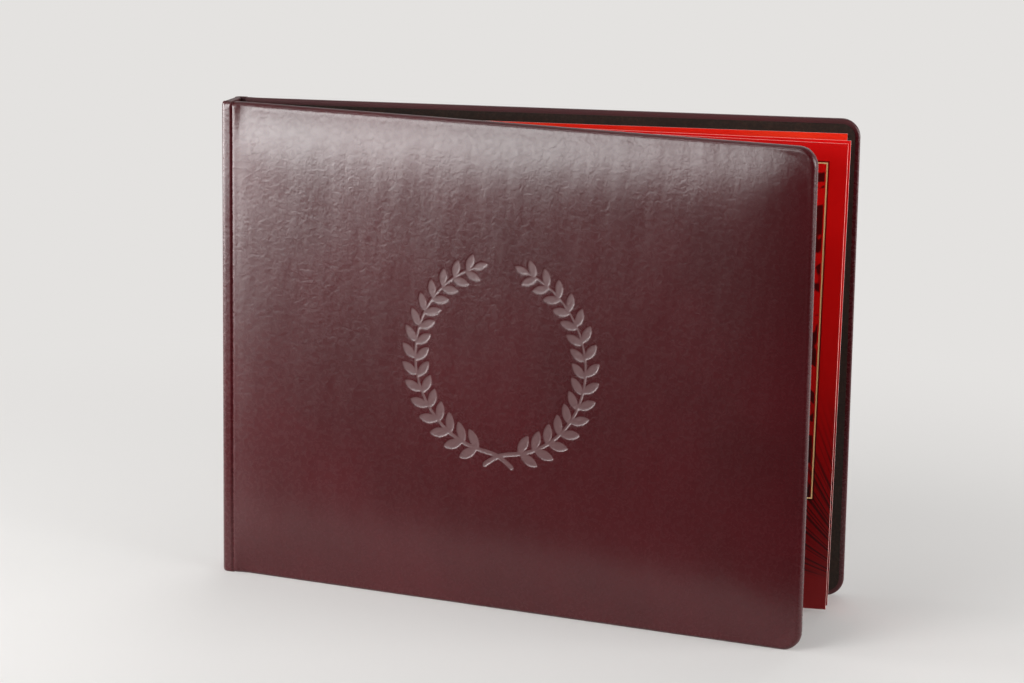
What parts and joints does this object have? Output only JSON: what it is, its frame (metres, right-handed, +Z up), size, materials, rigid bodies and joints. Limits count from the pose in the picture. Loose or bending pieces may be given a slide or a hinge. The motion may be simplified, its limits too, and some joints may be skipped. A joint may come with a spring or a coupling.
{
  "type": "leather document cover",
  "caption": "Padded leather album cover with a pressed wreath, hinged at two spine grooves, holding stiff leaves and standing slightly open.",
  "frame": {"origin": "on the table, under the middle of the part's box", "axes": "+Z up, +X from the spine to the fore-edge halfway between the covers, +Y from the front cover to the back cover"},
  "size_m": [0.3032, 0.1034, 0.236],
  "materials": {
    "leather": "smooth satin burgundy",
    "padding": "soft foam",
    "board": "matt",
    "lining": "matt near-black",
    "leaf_card": "satin print"
  },
  "bodies": {
    "back_cover": {"back_leather": "leather", "back_padding": "padding", "back_board": "board", "back_lining": "lining", "leaves": "leaf_card"},
    "spine": {"spine_leather": "leather", "spine_board": "board", "spine_lining": "lining"},
    "front_cover": {"front_leather": "leather", "front_padding": "padding", "front_board": "board", "front_lining": "lining"}
  },
  "joints": [
    {"name": "back_hinge", "type": "hinge", "parent": "back_cover", "child": "spine", "pos_m": [-0.14563, 0.01052, 0], "axis": [0, 0, -1], "range_deg": [-2, 82]},
    {"name": "front_hinge", "type": "hinge", "parent": "spine", "child": "front_cover", "pos_m": [-0.14563, -0.01052, 0], "axis": [0, 0, -1], "range_deg": [-8, 82]}
  ]
}
